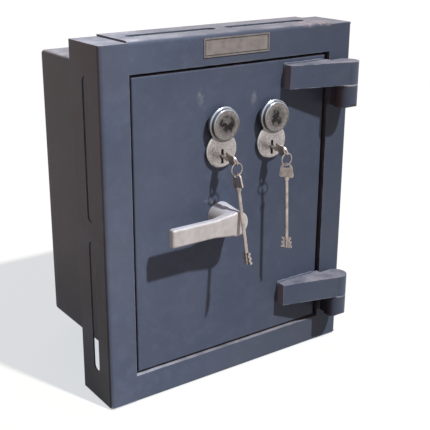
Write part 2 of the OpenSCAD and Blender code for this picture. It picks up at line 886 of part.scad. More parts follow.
module lock_cap(x) {
    place() color(steel) difference() {
        block([x - case_hw, case_back, case_floor], [x + case_hw, cap_back, lock_z + case_high]);
        rod_y(x, lock_z, tail_r + run_fit, case_back - 1, cap_back + 1);
        foot_screw_places() rod_y(0, 0, lock_screw_r + set_fit, case_back - 1, cap_back + 1);
    }
}
module left_lock_cap() {
    lock_cap(left_lock_x);
}
module right_lock_cap() {
    lock_cap(right_lock_x);
}

// One lever: round window for the key, gate for the bolt's stump, hole for its pin
module lever_2d() {
    difference() {
        translate([-case_hw + case_t + 1, -foot_screw_z + lock_screw_r + 4])
            square([2 * case_hw - 2 * case_t - 3,
                foot_screw_z - lock_screw_r - 4 + case_high - case_t - 1]);
        circle(lever_window_r);
        translate([-stump_hw - 0.6, stump_z - lock_throw - stump_hw - 0.6])
            square([2 * stump_hw + 1.2, lock_throw + 2 * stump_hw + 1.2]);
        translate([-lever_pin_x, lever_pin_z]) circle(lever_pin_r + run_fit);
    }
}

module levers(x) {
    place() color(brass) for (i = [0 : lever_count - 1])
        translate([x, 0, lock_z])
            along_y(lever_pack_y + i * lever_step, lever_pack_y + i * lever_step + lever_plate_t)
                lever_2d();
}
module left_levers() {
    levers(left_lock_x);
}
module right_levers() {
    levers(right_lock_x);
}

module lever_pins() {
    place() color(steel) for (x = [left_lock_x, right_lock_x])
        rod_y(x - lever_pin_x, lock_z + lever_pin_z, lever_pin_r, case_front, case_back);
}

module lock_screws() {
    place() color(steel) {
        ear_screw_places() {
            rod_y(0, 0, lock_screw_r, barrier_back, case_front + case_t);
            rod_y(0, 0, lock_head_r, case_front + case_t, case_front + case_t + lock_head_t);
        }
        foot_screw_places() {
            rod_y(0, 0, lock_screw_r, barrier_back, cap_back);
            rod_y(0, 0, lock_head_r, cap_back, cap_back + lock_head_t);
        }
    }
}

// Turned hub: straight behind the lever, then widening to the door
module turned_hub() {
    faced_disc(0, 0, hub_r, -hub_out, hub_waist, hub_chamfer);
    translate([0, hub_waist, 0]) rotate([-90, 0, 0])
        cylinder(r1 = hub_r, r2 = hub_foot_r, h = hub_back - hub_waist);
}

// Cast lever: bar and flared root with soft edges, on its hub
module handle_lever() {
    e = lever_edge_r;
    y0 = -hub_out + e;
    y1 = -hub_out + lever_t - e;
    root_x = hub_r + root_l;
    place() color(alloy) translate([handle_x, 0, handle_z]) difference() {
        union() {
            turned_hub();
            hull() for (x = [-lever_l + e, -hub_r], y = [y0, y1], s = [-1, 1])
                translate([x, y, s * (lever_h / 2 - e)]) sphere(r = e, $fn = 24);
            hull() {
                for (y = [y0, y1], s = [-1, 1])
                    translate([-root_x, y, s * (lever_h / 2 - e)]) sphere(r = e, $fn = 24);
                for (y = [y0, y1 + e], s = [-1, 1])
                    translate([-hub_r / 2, y, s * (hub_r - e - 1)]) sphere(r = e, $fn = 24);
            }
        }
        rod_y(0, 0, spindle_r + set_fit, spindle_front, hub_back + 1);
        rod_z(0, spindle_front / 2, stud_r - 1 + set_fit, -hub_foot_r - 1, -spindle_r);
    }
}

module handle_spindle() {
    place() color(steel)
        rod_y(handle_x, handle_z, spindle_r, spindle_front + set_fit, crank_back + 2 * clip_t);
}

module crank_arm() {
    place() color(steel) difference() {
        union() {
            rod_y(handle_x, handle_z, crank_boss_r, crank_y, crank_back);
            rod_y(crank_rest_x, crank_rest_z, crank_eye_r, crank_y, crank_back);
            translate([handle_x, crank_y, handle_z]) rotate([0, crank_half, 0])
                block([-crank_eye_r, 0, 0], [crank_eye_r, crank_t, crank_r]);
        }
        rod_y(handle_x, handle_z, spindle_r + set_fit, crank_y - 1, crank_back + 1);
        rod_y(crank_rest_x, crank_rest_z, crank_pin_r + set_fit, crank_y - 1, crank_back + 1);
    }
}

module crank_pin() {
    place() color(steel) rod_y(crank_rest_x, crank_rest_z, crank_pin_r, rail_y - 1, crank_back);
}

module crank_clip() {
    place() color(steel) difference() {
        rod_y(handle_x, handle_z, spindle_r + 3, crank_back, crank_back + clip_t);
        rod_y(handle_x, handle_z, spindle_r + set_fit, crank_back - 1, crank_back + clip_t + 1);
    }
}

module grub_screw() {
    y = spindle_front / 2;
    place() color(steel) translate([handle_x, 0, handle_z]) difference() {
        rod_z(0, y, stud_r - 1, -hub_r + 1, -spindle_r - set_fit);
        translate([0, y, -hub_r]) cylinder(d = grub_key_w, h = grub_key_d, $fn = 6);
    }
}

// Upright bar that carries the three bolts
module bolt_bar() {
    place() color(steel) difference() {
        block([bar_x0, bolt_y - bar_hd, bolt_mid - bolt_pitch - bar_end],
            [bar_x1, bolt_y + bar_hd, bolt_mid + bolt_pitch + bar_end]);
        for (row = bolt_rows)
            rod_x(bolt_y, bolt_mid + row, stub_r + set_fit, bar_x0 - 1, bar_x1 + 1);
    }
}

// Lugs on the rail, one beside each lock, that a thrown lock bolt stops
module blocking_lugs() {
    place() color(steel) for (x = [left_lock_x, right_lock_x])
        block([x + tongue_hw + lug_gap, rail_y, rail_top],
            [x + tongue_hw + lug_gap + lug_w, rail_back, lug_top]);
}

// Rail welded to the bar, with the crank's slot and the studs' slots
module bolt_carriage() {
    crank_slot_hw = crank_pin_r + crank_play;
    slot_low = crank_rest_z - crank_pin_r - crank_play;
    slot_high = crank_top_z + crank_pin_r + crank_play;
    stud_slot_r = stud_r + slide_fit;
    place() color(steel) difference() {
        block([bar_x1, rail_y, rail_mid - rail_h / 2], [rail_end, rail_back, rail_top]);
        block([crank_rest_x - crank_slot_hw, rail_y - 1, slot_low],
            [crank_rest_x + crank_slot_hw, rail_back + 1, slot_high]);
        for (x = stud_xs) {
            rod_y(x, rail_mid, stud_slot_r, rail_y - 1, rail_back + 1);
            rod_y(x + bolt_throw, rail_mid, stud_slot_r, rail_y - 1, rail_back + 1);
            block([x, rail_y - 1, rail_mid - stud_slot_r],
                [x + bolt_throw, rail_back + 1, rail_mid + stud_slot_r]);
        }
    }
}

module locking_bolts() {
    place() color(steel) for (row = bolt_rows) {
        z = bolt_mid + row;
        translate([bolt_tip, bolt_y, z]) rotate([0, 90, 0])
            cylinder(r1 = bolt_r - bolt_chamfer, r2 = bolt_r, h = bolt_chamfer);
        rod_x(bolt_y, z, bolt_r, bolt_tip + bolt_chamfer, bar_x0);
        rod_x(bolt_y, z, stub_r, bar_x0, bar_x1 + nut_t);
    }
}

module bolt_nuts() {
    place() color(steel) for (row = bolt_rows) translate([bar_x1, bolt_y, bolt_mid + row])
        rotate([0, 90, 0]) difference() {
            cylinder(r = stub_r + nut_wall, h = nut_t, $fn = 6);
            translate([0, 0, -1]) cylinder(r = stub_r + set_fit, h = nut_t + 2);
        }
}

// Lock bolt: tongue below, window round the key's barrel, stump that enters the levers
module lock_bolt(x) {
    y0 = bolt_plate_y;
    y1 = bolt_plate_y + bolt_plate_t;
    stump_end = lever_pack_y + (lever_count - 1) * lever_step + lever_plate_t;
    place() color(brass) translate([x, 0, lock_z]) {
        difference() {
            union() {
                block([-plate_hw, y0, -shoulder_z], [plate_hw, y1, plate_top]);
                block([-tongue_hw, y0, -case_low], [tongue_hw, y1, -shoulder_z]);
            }
            block([-window_hw, y0 - 1, -window_low], [window_hw, y1 + 1, window_high]);
        }
        block([-stump_hw, y1, stump_z - stump_hw], [stump_hw, stump_end, stump_z + stump_hw]);
    }
}
module left_lock_bolt() {
    lock_bolt(left_lock_x);
}
module right_lock_bolt() {
    lock_bolt(right_lock_x);
}

// Thick swing cover with a raised face, turned up above its keyhole
module swing_cover(x) {
    z = base_z + cover_rise;
    step_y = cover_front + cover_step;
    place() color(bright) difference() {
        union() {
            faced_disc(x, z, cover_r, step_y, cover_y, disc_edge);
            faced_disc(x, z, cover_face_r, cover_front, step_y, disc_edge / 2);
        }
        rod_y(x, z, cover_face_r - cover_rim, cover_front - 1, cover_front + cover_dish);
        rod_y(x, z, cover_hollow_r, cover_y - cover_hollow_d, cover_y + 1);
        rod_y(x, pivot_z, pivot_r + run_fit, cover_y - pivot_depth - air_gap, cover_y + 1);
    }
}
module left_cover() {
    swing_cover(left_lock_x);
}
module right_cover() {
    swing_cover(right_lock_x);
}

// Barrel that the key turns: slotted for the bits, with a journal in the case and one in the cap
module key_barrel(x) {
    front = case_front + air_gap;
    place() color(brass) difference() {
        union() {
            rod_y(x, lock_z, journal_r, front, case_front + case_t + 1);
            rod_y(x, lock_z, drum_r, front, case_back - air_gap);
            rod_y(x, lock_z, tail_r, front, cap_back);
        }
        block([x - keyhole_w / 2, case_front - 1, lock_z - bit_w / 2 - slide_fit],
            [x + keyhole_w / 2, drum_end, lock_z + bit_w / 2 + slide_fit]);
        rod_y(x, lock_z, shank_r + slide_fit, case_front - 1, drum_end);
    }
}
module left_key_barrel() {
    key_barrel(left_lock_x);
}
module right_key_barrel() {
    key_barrel(right_lock_x);
}

// Bell-shaped bow: round at its free end, flared to a flat foot at the shank
module bow_2d() {
    foot_in = bow_l - bow_foot_r;
    foot_hw = bow_h / 2 - bow_foot_r;
    difference() {
        union() {
            translate([bow_end_r, 0]) circle(bow_end_r);
            polygon([[bow_end_r, -bow_end_r], [foot_in, -bow_h / 2], [foot_in, bow_h / 2],
                [bow_end_r, bow_end_r]]);
            translate([foot_in - 1, -foot_hw]) square([bow_foot_r + 1, 2 * foot_hw]);
            for (s = [-1, 1]) translate([foot_in, s * foot_hw]) circle(bow_foot_r);
        }
        translate([eye_y, 0]) rotate(90) slot_2d(eye_h, eye_w);
    }
}

// Double-bitted key, bow end at the origin, shank along +Y, bits in the YZ plane, bow turned to them
module key(turn = 0) {
    step_l = bit_l / len(bit_steps);
    rotate([0, -turn, 0]) rotate([90, 0, 90]) translate([0, 0, -bow_t / 2]) linear_extrude(bow_t) bow_2d();
    rod_y(0, 0, shank_r, bow_l - 1, key_l);
    rod_y(0, 0, collar_r, bow_l - 0.5, bow_l + collar_l);
    for (i = [0 : len(bit_steps) - 1]) {
        hw = bit_w / 2 * bit_steps[i];
        y1 = key_l - i * step_l;
        block([-bit_t / 2, y1 - step_l, -hw], [bit_t / 2, y1, hw]);
    }
}

module left_key() {
    place() color(bright) translate([left_lock_x, -key_out, lock_z]) key(bow_turn);
}
module right_key() {
    place() color(bright) translate([right_lock_x, -key_out, lock_z]) key(bow_turn);
}

module key_ring(x) {
    place() color(bright) translate([x + ring_side, ring_y, ring_z]) rotate([90, 0, 0])
        rotate_extrude() translate([ring_r, 0]) circle(wire_r);
}
module left_key_ring() {
    key_ring(left_lock_x);
}
module right_key_ring() {
    key_ring(right_lock_x);
}

// Spare key hung on the ring by its bow, leaning out by an angle and turned about the vertical
module spare_key(x, lean, yaw) {
    place() color(bright) translate([x + ring_side, ring_y, ring_low_z]) rotate([0, 0, yaw])
        rotate([-lean, 0, 0]) translate([0, 0, spare_rim]) rotate([-90, 0, 0]) key();
}
module left_spare_key() {
    spare_key(left_lock_x, left_lean, 0);
}
module right_spare_key() {
    spare_key(right_lock_x, right_lean, right_yaw);
}

front_frame();
body_wrap();
back_plate();
door_frame();
upper_hinge_knuckle();
lower_hinge_knuckle();
hinge_pins();
hinge_washers();
name_plate();
door_plate();
upper_hinge_arm();
lower_hinge_arm();
door_pan();
barrier_fill();
lock_plate();
boltwork_cover();
cover_screws();
hinge_dog_bar();
dog_bar_screws();
left_escutcheon();
right_escutcheon();
cover_pivots();
handle_bush();
bolt_guides();
carriage_studs();
key_tubes();
left_lock_case();
right_lock_case();
left_lock_cap();
right_lock_cap();
left_levers();
right_levers();
lever_pins();
lock_screws();
handle_lever();
handle_spindle();
crank_arm();
crank_pin();
crank_clip();
grub_screw();
bolt_bar();
bolt_carriage();
blocking_lugs();
locking_bolts();
bolt_nuts();
left_lock_bolt();
right_lock_bolt();
left_cover();
right_cover();
left_key_barrel();
right_key_barrel();
left_key();
right_key();
left_key_ring();
right_key_ring();
left_spare_key();
right_spare_key();
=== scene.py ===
# %% [markdown]
# A wall safe of folded and welded steel: a deep frame that is built into masonry, a plate door on two strap
# hinges, two key locks with swing covers, and a cast lever. Its solids are already made and packed, so this
# lesson starts by loading them. They are the fixed frame of the scene: every finish and every added piece
# goes on top of them, in the same metres.

import json
import math

import bmesh
import bpy
from mathutils import Matrix, Vector


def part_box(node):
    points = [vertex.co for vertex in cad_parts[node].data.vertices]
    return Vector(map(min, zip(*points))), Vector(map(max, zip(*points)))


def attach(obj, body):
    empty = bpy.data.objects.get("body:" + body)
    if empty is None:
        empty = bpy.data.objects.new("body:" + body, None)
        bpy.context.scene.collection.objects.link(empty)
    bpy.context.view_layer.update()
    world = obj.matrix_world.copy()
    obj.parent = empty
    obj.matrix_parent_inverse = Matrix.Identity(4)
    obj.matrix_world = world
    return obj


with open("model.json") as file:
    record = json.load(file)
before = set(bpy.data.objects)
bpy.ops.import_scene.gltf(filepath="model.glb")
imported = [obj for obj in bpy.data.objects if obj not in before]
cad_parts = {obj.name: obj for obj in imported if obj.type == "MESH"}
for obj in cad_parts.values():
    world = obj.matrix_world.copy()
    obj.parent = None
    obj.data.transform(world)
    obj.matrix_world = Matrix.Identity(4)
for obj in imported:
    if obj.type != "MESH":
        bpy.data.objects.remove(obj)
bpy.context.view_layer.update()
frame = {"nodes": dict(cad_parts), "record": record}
scene = bpy.context.scene
scene.view_settings.view_transform = "Standard"

# %% [markdown]
# The safe is seen from the left of its front and from above, with a long lens. A camera could be aimed with
# a tracking constraint, but here its three axes are known from the lines of the frame, so they are written
# down as the columns of its matrix. The lens is longer than usual and the picture's middle lies a little
# beside the optical axis, which is what the two small shifts say.

# %% Camera
PICTURE_PX = 430
FOCAL_PX = 865.2
AXIS_PX = (199.4, 205.5)
SENSOR_MM = 36.0
EYE = (-0.5534, -0.7642, 0.5218)

sight = Vector((0.5366, 0.7787, -0.3251)).normalized()
across = Vector((0.8234, -0.5674, 0.0)).normalized()
up = across.cross(sight).normalized()

lens = bpy.data.cameras.new("view_from_left")
lens.sensor_fit = "HORIZONTAL"
lens.sensor_width = SENSOR_MM
lens.lens = FOCAL_PX / PICTURE_PX * SENSOR_MM
lens.shift_x = (PICTURE_PX / 2 - AXIS_PX[0]) / PICTURE_PX
lens.shift_y = (AXIS_PX[1] - PICTURE_PX / 2) / PICTURE_PX
viewer = bpy.data.objects.new("view_from_left", lens)
turn = Matrix((across, up, -sight)).transposed()
viewer.matrix_world = Matrix.Translation(EYE) @ turn.to_4x4()
scene.collection.objects.link(viewer)
scene.camera = viewer
print("lens", round(lens.lens, 2), "mm, shift", round(lens.shift_x, 4), round(lens.shift_y, 4))

# %% [markdown]
# Shader trees are long when every node takes four lines, so small helpers come first. One puts a node into
# a tree, two fill or wire its sockets, and two do sums, with values and with vectors. They are plain
# functions, so that each finish below reads as a list of what lies on the metal.

# %% Helpers: nodes and sums
def put(tree, kind, settings=None, **wires):
    node = tree.nodes.new("ShaderNode" + kind)
    for name, value in (settings or {}).items():
        setattr(node, name, value)
    for name, value in wires.items():
        fill(tree, node.inputs[name.replace("_", " ")], value)
    return node


def fill(tree, socket, value):
    if isinstance(value, bpy.types.NodeSocket):
        tree.links.new(value, socket)
    else:
        socket.default_value = value


def fill_in_order(tree, node, values):
    for socket, value in zip(node.inputs, values):
        fill(tree, socket, value)
    return node.outputs


def calc(tree, operation, *values, clamp=False):
    node = put(tree, "Math", {"operation": operation, "use_clamp": clamp})
    return fill_in_order(tree, node, values)[0]


def vector_calc(tree, operation, *values):
    return fill_in_order(tree, put(tree, "VectorMath", {"operation": operation}), values)


print("helpers for nodes and sums ready")

# %% [markdown]
# Paint and wear lie on each other in layers, so the next helpers work with tones. One mixes two colours,
# one lays a tone over what is there by a mask and an amount, one makes a tone darker or lighter, and one
# stretches a range of values with soft ends. A colour ramp could do that stretch too, but its ends can't be
# wired.

# %% Helpers: tones and layers
def blend_colour(tree, share, first, second):
    node = put(tree, "Mix", {"data_type": "RGBA"})
    for label, value in (("Factor_Float", share), ("A_Color", first), ("B_Color", second)):
        socket = next(s for s in node.inputs if s.identifier == label)
        fill(tree, socket, (*value, 1.0) if isinstance(value, tuple) else value)
    return next(s for s in node.outputs if s.identifier == "Result_Color")


def layer(tree, under, mask, amount, tone):
    return blend_colour(tree, calc(tree, "MULTIPLY", mask, amount), under, tone)


def shade(tone, factor):
    return tuple(min(1.0, factor * channel) for channel in tone)


def stretch(tree, value, low, high, to_low=0.0, to_high=1.0):
    node = put(tree, "MapRange", {"interpolation_type": "SMOOTHSTEP"}, Value=value,
               From_Min=low, From_Max=high, To_Min=to_low, To_Max=to_high)
    return node.outputs[0]


print("helpers for tones ready")

# %% [markdown]
# Unevenness has to stay on the metal when the door swings, so it is read in each object's own coordinates.
# These helpers give that place, its three axes, a noise there, and how far a face looks along one axis. The
# others empty a tree, start a finish with its shader, add up its changes of roughness and, once all its
# layers are known, hand them to that shader.

# %% Helpers: places and finishes
def own_place(tree):
    return put(tree, "TexCoord").outputs["Object"]


def own_axes(tree):
    return put(tree, "SeparateXYZ", Vector=own_place(tree)).outputs


def facing(tree, axis):
    normal = put(tree, "NewGeometry").outputs["Normal"]
    return put(tree, "SeparateXYZ", Vector=normal).outputs[axis]


def noise_at(tree, where, scale, detail, roughness=0.5):
    noise = put(tree, "TexNoise", Vector=where, Scale=scale, Detail=detail, Roughness=roughness)
    return noise.outputs[0]


def bare_tree(owner):
    owner.use_nodes = True
    owner.node_tree.nodes.clear()
    return owner.node_tree


def finish_of(name):
    material = bpy.data.materials.new(name)
    tree = bare_tree(material)
    shader = put(tree, "BsdfPrincipled")
    put(tree, "OutputMaterial", Surface=shader.outputs[0])
    return material, tree, shader


def roughen(tree, rough, *changes):
    for mask, amount in changes:
        rough = calc(tree, "MULTIPLY_ADD", mask, amount, rough)
    return rough


def hand_over(tree, shader, colour, rough, height, strength, distance, metallic=0.0):
    bump = put(tree, "Bump", Height=height, Strength=strength, Distance=distance)
    for label, value in (("Base Color", colour), ("Roughness", rough), ("Normal", bump.outputs[0]),
                         ("Metallic", metallic)):
        fill(tree, shader.inputs[label], value)


print("helpers for finishes ready")

# %% [markdown]
# The safe stands on a plain pale floor before a white ground. A white sheet under a strong lamp would throw
# far too much light back at the object, so the floor is only pale, and it adds its missing brightness for
# the rays that come from the camera, from a mirror or through glass. The lamp's light then stays at a plain
# level, and the floor still carries the safe's shadow.

# %% Floor and white ground
FLOOR_REACH = 30.0
FLOOR_HEIGHT = -0.0004
FLOOR_CARD, FLOOR_GLOW = (0.33, 0.30, 0.27, 1.0), (0.63, 0.67, 0.70, 1.0)
GROUND_LIGHT, GROUND_STRENGTH = (1.0, 0.68, 0.58, 1.0), 0.275
WHITE = (1.0, 1.0, 1.0, 1.0)


def seen_rays(tree):
    path = put(tree, "LightPath")
    mirrored = calc(tree, "MAXIMUM", path.outputs["Is Glossy Ray"], path.outputs["Is Transmission Ray"])
    return calc(tree, "MAXIMUM", path.outputs["Is Camera Ray"], mirrored)


def pale_floor():
    sheet = bmesh.new()
    bmesh.ops.create_grid(sheet, x_segments=4, y_segments=4, size=FLOOR_REACH)
    mesh = bpy.data.meshes.new("pale_floor")
    sheet.to_mesh(mesh)
    sheet.free()
    floor = bpy.data.objects.new("pale_floor", mesh)
    floor.location.z = FLOOR_HEIGHT
    scene.collection.objects.link(floor)
    material = bpy.data.materials.new("pale_floor")
    tree = bare_tree(material)
    card = put(tree, "BsdfDiffuse", Color=FLOOR_CARD)
    glow = put(tree, "Emission", Color=FLOOR_GLOW, Strength=seen_rays(tree))
    both = fill_in_order(tree, put(tree, "AddShader"), (card.outputs[0], glow.outputs[0]))
    put(tree, "OutputMaterial", Surface=both[0])
    mesh.materials.append(material)


def white_ground():
    world = bpy.data.worlds.new("white_ground")
    tree = bare_tree(world)
    soft = put(tree, "Background", Color=GROUND_LIGHT, Strength=GROUND_STRENGTH)
    white = put(tree, "Background", Color=WHITE, Strength=1.0)
    pick = fill_in_order(tree, put(tree, "MixShader"), (seen_rays(tree), soft.outputs[0], white.outputs[0]))
    put(tree, "OutputWorld", Surface=pick[0])
    scene.world = world


pale_floor()
white_ground()

# %% [markdown]
# One lamp stands high to the right in front, so that the lever and the keys drop their shadows down the
# door. An area lamp close by would leave a dark horizon behind, so a sun lamp is used: it lights the floor
# evenly from end to end, and its angle sets how soft the shadows' edges are. The ground lights up the rest.

# %% Lamp
LAMP_TOWARD = (0.206, -0.565, 0.799)
LAMP_STRENGTH = 3.85
LAMP_SOFTNESS_DEG = 2.4
LAMP_COLOUR = (0.98, 0.99, 1.0)

lamp = bpy.data.lights.new("high_lamp", "SUN")
lamp.energy = LAMP_STRENGTH
lamp.angle = math.radians(LAMP_SOFTNESS_DEG)
lamp.color = LAMP_COLOUR
lamp_holder = bpy.data.objects.new("high_lamp", lamp)
lamp_holder.rotation_euler = Vector(LAMP_TOWARD).to_track_quat("Z", "Y").to_euler()
scene.collection.objects.link(lamp_holder)

# %% [markdown]
# Several finishes share the same kinds of unevenness, so each kind is a node group that is built once. The
# first three are soft clouds of tone, edges that hands and tools have rubbed and that carry a painted
# highlight, and dust with a painted pale sheen on what faces up. Each gives a mask from 0 to 1 that changes
# over the surface, and every finish decides what to do with it. The rubbed and lit edges compare the real
# surface direction with one that is rounded over, which finds an edge on any mesh, however few points it
# has.

# %% Shared groups: clouds, rubbed and lit edges, dust and sheen
def start_group(name, **inputs):
    tree = bpy.data.node_groups.new(name, "ShaderNodeTree")
    for label, value in inputs.items():
        kind = "NodeSocketVector" if isinstance(value, tuple) else "NodeSocketFloat"
        tree.interface.new_socket(label, in_out="INPUT", socket_type=kind).default_value = value
    tree.interface.new_socket("Mask", in_out="OUTPUT", socket_type="NodeSocketFloat")
    return tree, tree.nodes.new("NodeGroupInput").outputs


def end_group(tree, mask):
    fill(tree, tree.nodes.new("NodeGroupOutput").inputs["Mask"], mask)
    return tree


def cloud_group():
    tree, given = start_group("soft_clouds", Scale=10.0, From=0.35, To=0.65)
    noise = noise_at(tree, own_place(tree), given["Scale"], 5.0, 0.6)
    return end_group(tree, stretch(tree, noise, given["From"], given["To"]))


def edge_group():
    tree, given = start_group("rubbed_and_lit_edges", Width=0.002, Break=60.0)
    rounded = put(tree, "Bevel", {"samples": 4}, Radius=given["Width"]).outputs[0]
    real = put(tree, "NewGeometry").outputs["Normal"]
    along = vector_calc(tree, "DOT_PRODUCT", rounded, real)["Value"]
    edge = stretch(tree, calc(tree, "SUBTRACT", 1.0, along), 0.01, 0.16)
    broken = stretch(tree, noise_at(tree, own_place(tree), given["Break"], 4.0), 0.36, 0.60)
    return end_group(tree, calc(tree, "MULTIPLY", edge, broken))


def dust_and_sheen_group():
    tree, given = start_group("dust_and_sheen", Scale=30.0)
    upward = stretch(tree, facing(tree, "Z"), 0.55, 0.98)
    noise = noise_at(tree, own_place(tree), given["Scale"], 6.0, 0.65)
    return end_group(tree, calc(tree, "MULTIPLY", upward, stretch(tree, noise, 0.30, 0.70, 0.25, 1.0)))


clouds, rubbed_and_lit_edges, dust_and_sheen = cloud_group(), edge_group(), dust_and_sheen_group()
print("groups:", [g.name for g in bpy.data.node_groups])

# %% [markdown]
# Two more groups say where a tone is laid over the paint. Painted side shading marks faces that look left or
# right, where shade falls, for a painted shade tone. A wear and glint spot is a soft patch round a given
# point, for the smudges that a hand leaves, for a chipped corner and for a painted patch of light thrown
# from the lever's hub; its reach along each axis is given on its own, so one group makes round and long
# marks.

# %% Shared groups: painted side shading, wear and glint spot
def side_group():
    tree, given = start_group("painted_side_shading", Scale=22.0)
    sideways = stretch(tree, calc(tree, "ABSOLUTE", facing(tree, "X")), 0.70, 0.95)
    noise = noise_at(tree, own_place(tree), given["Scale"], 6.0, 0.65)
    return end_group(tree, calc(tree, "MULTIPLY", sideways, stretch(tree, noise, 0.2, 0.6, 0.6, 1.0)))


def spot_group():
    tree, given = start_group("wear_and_glint_spot", Centre=(0.0, 0.0, 0.0), Reach=(0.01, 0.01, 0.01), Break=90.0)
    where = own_place(tree)
    offset = vector_calc(tree, "SUBTRACT", where, given["Centre"])["Vector"]
    scaled = vector_calc(tree, "DIVIDE", offset, given["Reach"])["Vector"]
    patch = stretch(tree, vector_calc(tree, "LENGTH", scaled)["Value"], 1.0, 0.2)
    broken = stretch(tree, noise_at(tree, where, given["Break"], 6.0, 0.7), 0.38, 0.66)
    return end_group(tree, calc(tree, "MULTIPLY", patch, broken))


painted_side_shading, wear_and_glint_spot = side_group(), spot_group()
print("groups:", painted_side_shading.name, wear_and_glint_spot.name)

# %% [markdown]
# The last three groups are marks of the workshop. Brush lines are fine parallel scratches, made from a
# noise that is stretched along one axis; turned rings are what a lathe leaves round a centre; and a round
# zone tells a disc's middle from its rim. Rings and zone both need the distance from an axis, so they share
# one function.

# %% Shared groups: brush lines, turned rings, round zone
def brush_group():
    tree, given = start_group("brush_lines", Stretch=(40.0, 900.0, 900.0))
    drawn_out = vector_calc(tree, "MULTIPLY", own_place(tree), given["Stretch"])["Vector"]
    return end_group(tree, stretch(tree, noise_at(tree, drawn_out, 1.0, 4.0, 0.7), 0.25, 0.75))


def from_axis(tree, centre):
    offset = vector_calc(tree, "SUBTRACT", own_place(tree), centre)["Vector"]
    flat = vector_calc(tree, "MULTIPLY", offset, (1.0, 0.0, 1.0))["Vector"]
    return vector_calc(tree, "LENGTH", flat)["Value"]


def ring_group():
    tree, given = start_group("turned_rings", Centre=(0.0, 0.0, 0.0), Lines=1500.0)
    along = calc(tree, "MULTIPLY", from_axis(tree, given["Centre"]), given["Lines"])
    line = put(tree, "TexNoise", {"noise_dimensions": "1D"}, W=along, Scale=1.0, Detail=3.0, Roughness=0.7)
    return end_group(tree, stretch(tree, line.outputs[0], 0.25, 0.75))


def zone_group():
    tree, given = start_group("round_zone", Centre=(0.0, 0.0, 0.0), Radius=0.01, Softness=0.0005)
    inner = calc(tree, "SUBTRACT", given["Radius"], given["Softness"])
    return end_group(tree, stretch(tree, from_axis(tree, given["Centre"]), given["Radius"], inner))


def place_group(tree, group, **values):
    return put(tree, "Group", {"node_tree": group}, **values).outputs[0]


brush_lines, turned_rings, round_zone = brush_group(), ring_group(), zone_group()
print("groups:", brush_lines.name, turned_rings.name, round_zone.name)

# %% [markdown]
# The steel is painted with a blue-grey stove enamel. It isn't one flat tone: it lies a little lighter and
# darker in clouds, its skin is slightly uneven like an orange's, edges are paler from rubbing and a painted
# highlight, and dust with a painted pale sheen dulls what faces up. The paint is darker towards the right,
# and faces that look left or right get a painted red-brown shade, darker towards the foot. A picture of old
# paint could be laid on instead, but it would tear at every fold, so one function mixes the paint from the
# groups.

# %% Enamel recipe
MOTTLE_SHARE, MOTTLE_LIFT = 0.40, 1.3
FADE_REACH, FADE_DEPTH = (-0.19, 0.17), 0.45
SIDE_SHADE_FOOT, SIDE_SHADE_TOP = (0.012, 0.010, 0.014), (0.088, 0.071, 0.084)
SIDE_SHADE_HEIGHTS = (-0.03, 0.40)
RUBBED_HIGHLIGHT_TONE = (0.34, 0.36, 0.41)
DUST_SHEEN_LEFT, DUST_SHEEN_RIGHT = (0.66, 0.69, 0.80), (0.40, 0.39, 0.44)
DUST_SHEEN_CHANGE, DUST_SHEEN_SHARE = (-0.14, -0.03), 0.72
ENAMEL_ROUGH, ENAMEL_GLOSS = 0.36, 0.10


def enamel(name, dark, light, haze, haze_amount, fade, side_shading, spots=(), wear_and_highlight=0.42,
           sides=(SIDE_SHADE_FOOT, SIDE_SHADE_TOP)):
    material, tree, shader = finish_of(name)
    here = own_axes(tree)
    cloud = place_group(tree, clouds, Scale=7.0, From=0.30, To=0.72)
    colour = blend_colour(tree, cloud, dark, light)
    mottle = place_group(tree, clouds, Scale=85.0, From=0.42, To=0.80)
    colour = layer(tree, colour, mottle, MOTTLE_SHARE, shade(light, MOTTLE_LIFT))
    # the paint is darker towards the right
    colour = layer(tree, colour, stretch(tree, here["X"], *FADE_REACH), fade, shade(dark, FADE_DEPTH))
    stain = place_group(tree, clouds, Scale=13.0, From=0.40, To=0.85)
    colour = layer(tree, colour, stain, haze_amount, haze)
    # painted shade: faces that look left or right take a red-brown tone, darker towards the foot
    side_tone = blend_colour(tree, stretch(tree, here["Z"], *SIDE_SHADE_HEIGHTS), *sides)
    colour = layer(tree, colour, place_group(tree, painted_side_shading), side_shading, side_tone)
    # edges paler: rubbing and a painted highlight
    edge = place_group(tree, rubbed_and_lit_edges, Width=0.0016, Break=70.0)
    colour = layer(tree, colour, edge, wear_and_highlight, RUBBED_HIGHLIGHT_TONE)
    # dust with a painted pale sheen on what faces up, bluish and palest towards the left
    dust_and_sheen_mask = place_group(tree, dust_and_sheen, Scale=28.0)
    dust_sheen_tone = blend_colour(tree, stretch(tree, here["X"], *DUST_SHEEN_CHANGE), DUST_SHEEN_LEFT, DUST_SHEEN_RIGHT)
    colour = layer(tree, colour, dust_and_sheen_mask, DUST_SHEEN_SHARE, dust_sheen_tone)
    for centre, reach, strength, tone in spots:
        mark = place_group(tree, wear_and_glint_spot, Centre=centre, Reach=reach, Break=130.0)
        colour = layer(tree, colour, mark, strength, tone)
    rough = roughen(tree, ENAMEL_ROUGH, (cloud, 0.08), (dust_and_sheen_mask, 0.20))
    skin = noise_at(tree, own_place(tree), scale=420.0, detail=2.0)
    hand_over(tree, shader, colour, rough, skin, strength=0.10, distance=0.0006)
    fill(tree, shader.inputs["Specular IOR Level"], ENAMEL_GLOSS)
    return material


print("enamel recipe ready")

# %% [markdown]
# Each body of the safe gets that paint with its own amounts: the frame rather clean but chipped to the
# primer at its top right corner, the door with grey marks of use beside the locks and a painted patch of
# light thrown from the lever's hub, the hinge arms with edges paler from rubbing and a painted highlight and
# a lighter red-brown painted tone on their side faces, and the box behind with a brown haze in clouds. A
# mark is its centre, its reach along each axis, its strength and its tone.

